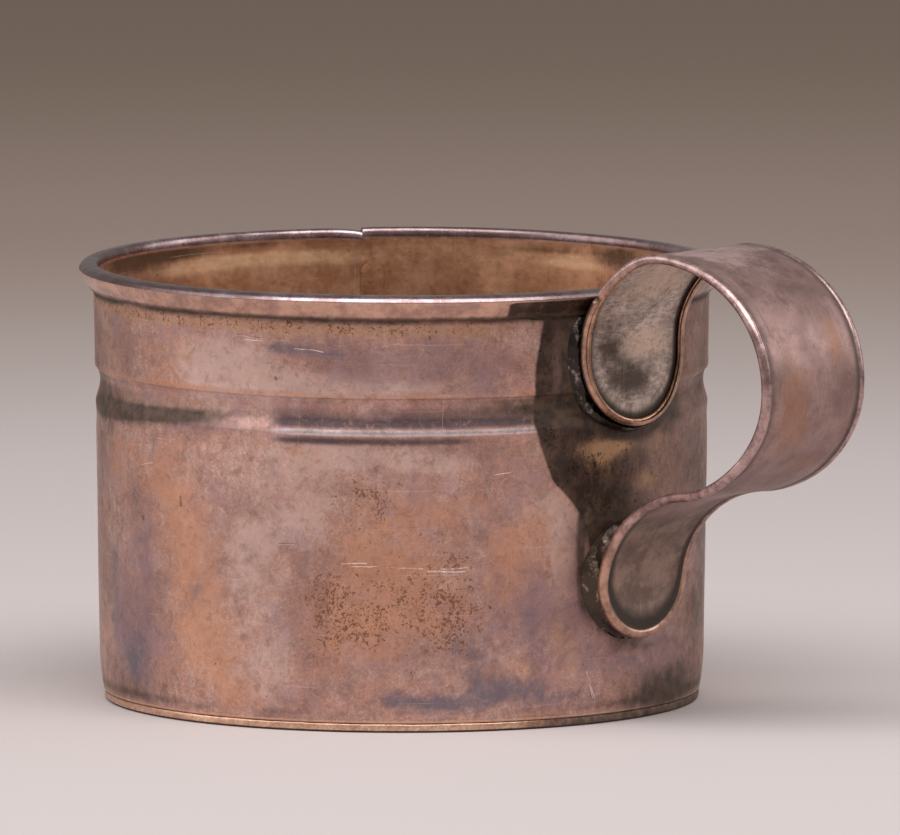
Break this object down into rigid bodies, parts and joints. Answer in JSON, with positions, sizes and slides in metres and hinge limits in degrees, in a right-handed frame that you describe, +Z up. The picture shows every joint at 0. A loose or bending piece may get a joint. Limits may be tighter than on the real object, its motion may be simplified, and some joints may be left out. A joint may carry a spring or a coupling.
{
  "type": "mug",
  "caption": "Low round sheet-copper mug with a rolled rim, a channel below it and an ear-shaped strap handle with rolled edges, soldered to the wall.",
  "frame": {"origin": "centre of the underside of the base, where the mug rests on a table", "axes": "+Z up along the mug's axis, +X towards the handle, +Y completes the frame"},
  "size_m": [0.1208, 0.089, 0.0662],
  "materials": {
    "copper_wall": "semi-gloss aged copper with mauve, grey and orange patina, pits and fine scratches",
    "copper_base": "worn copper, brighter at the edge",
    "copper_strap": "mauve-brown aged copper, finely brushed, with brighter rolled edges",
    "edge_wire": "bare worn wire",
    "rim_wire": "dull iron wire",
    "solder": "dark, lumpy, partly shiny old soft solder"
  },
  "bodies": {
    "root": {"wall": "copper_wall", "rim_wire": "rim_wire", "base_pan": "copper_base", "base_solder": "solder", "wall_seam_solder": "solder", "handle_strap": "copper_strap", "handle_edge_wire": "edge_wire", "solder_upper": "solder", "solder_lower": "solder"}
  },
  "joints": []
}
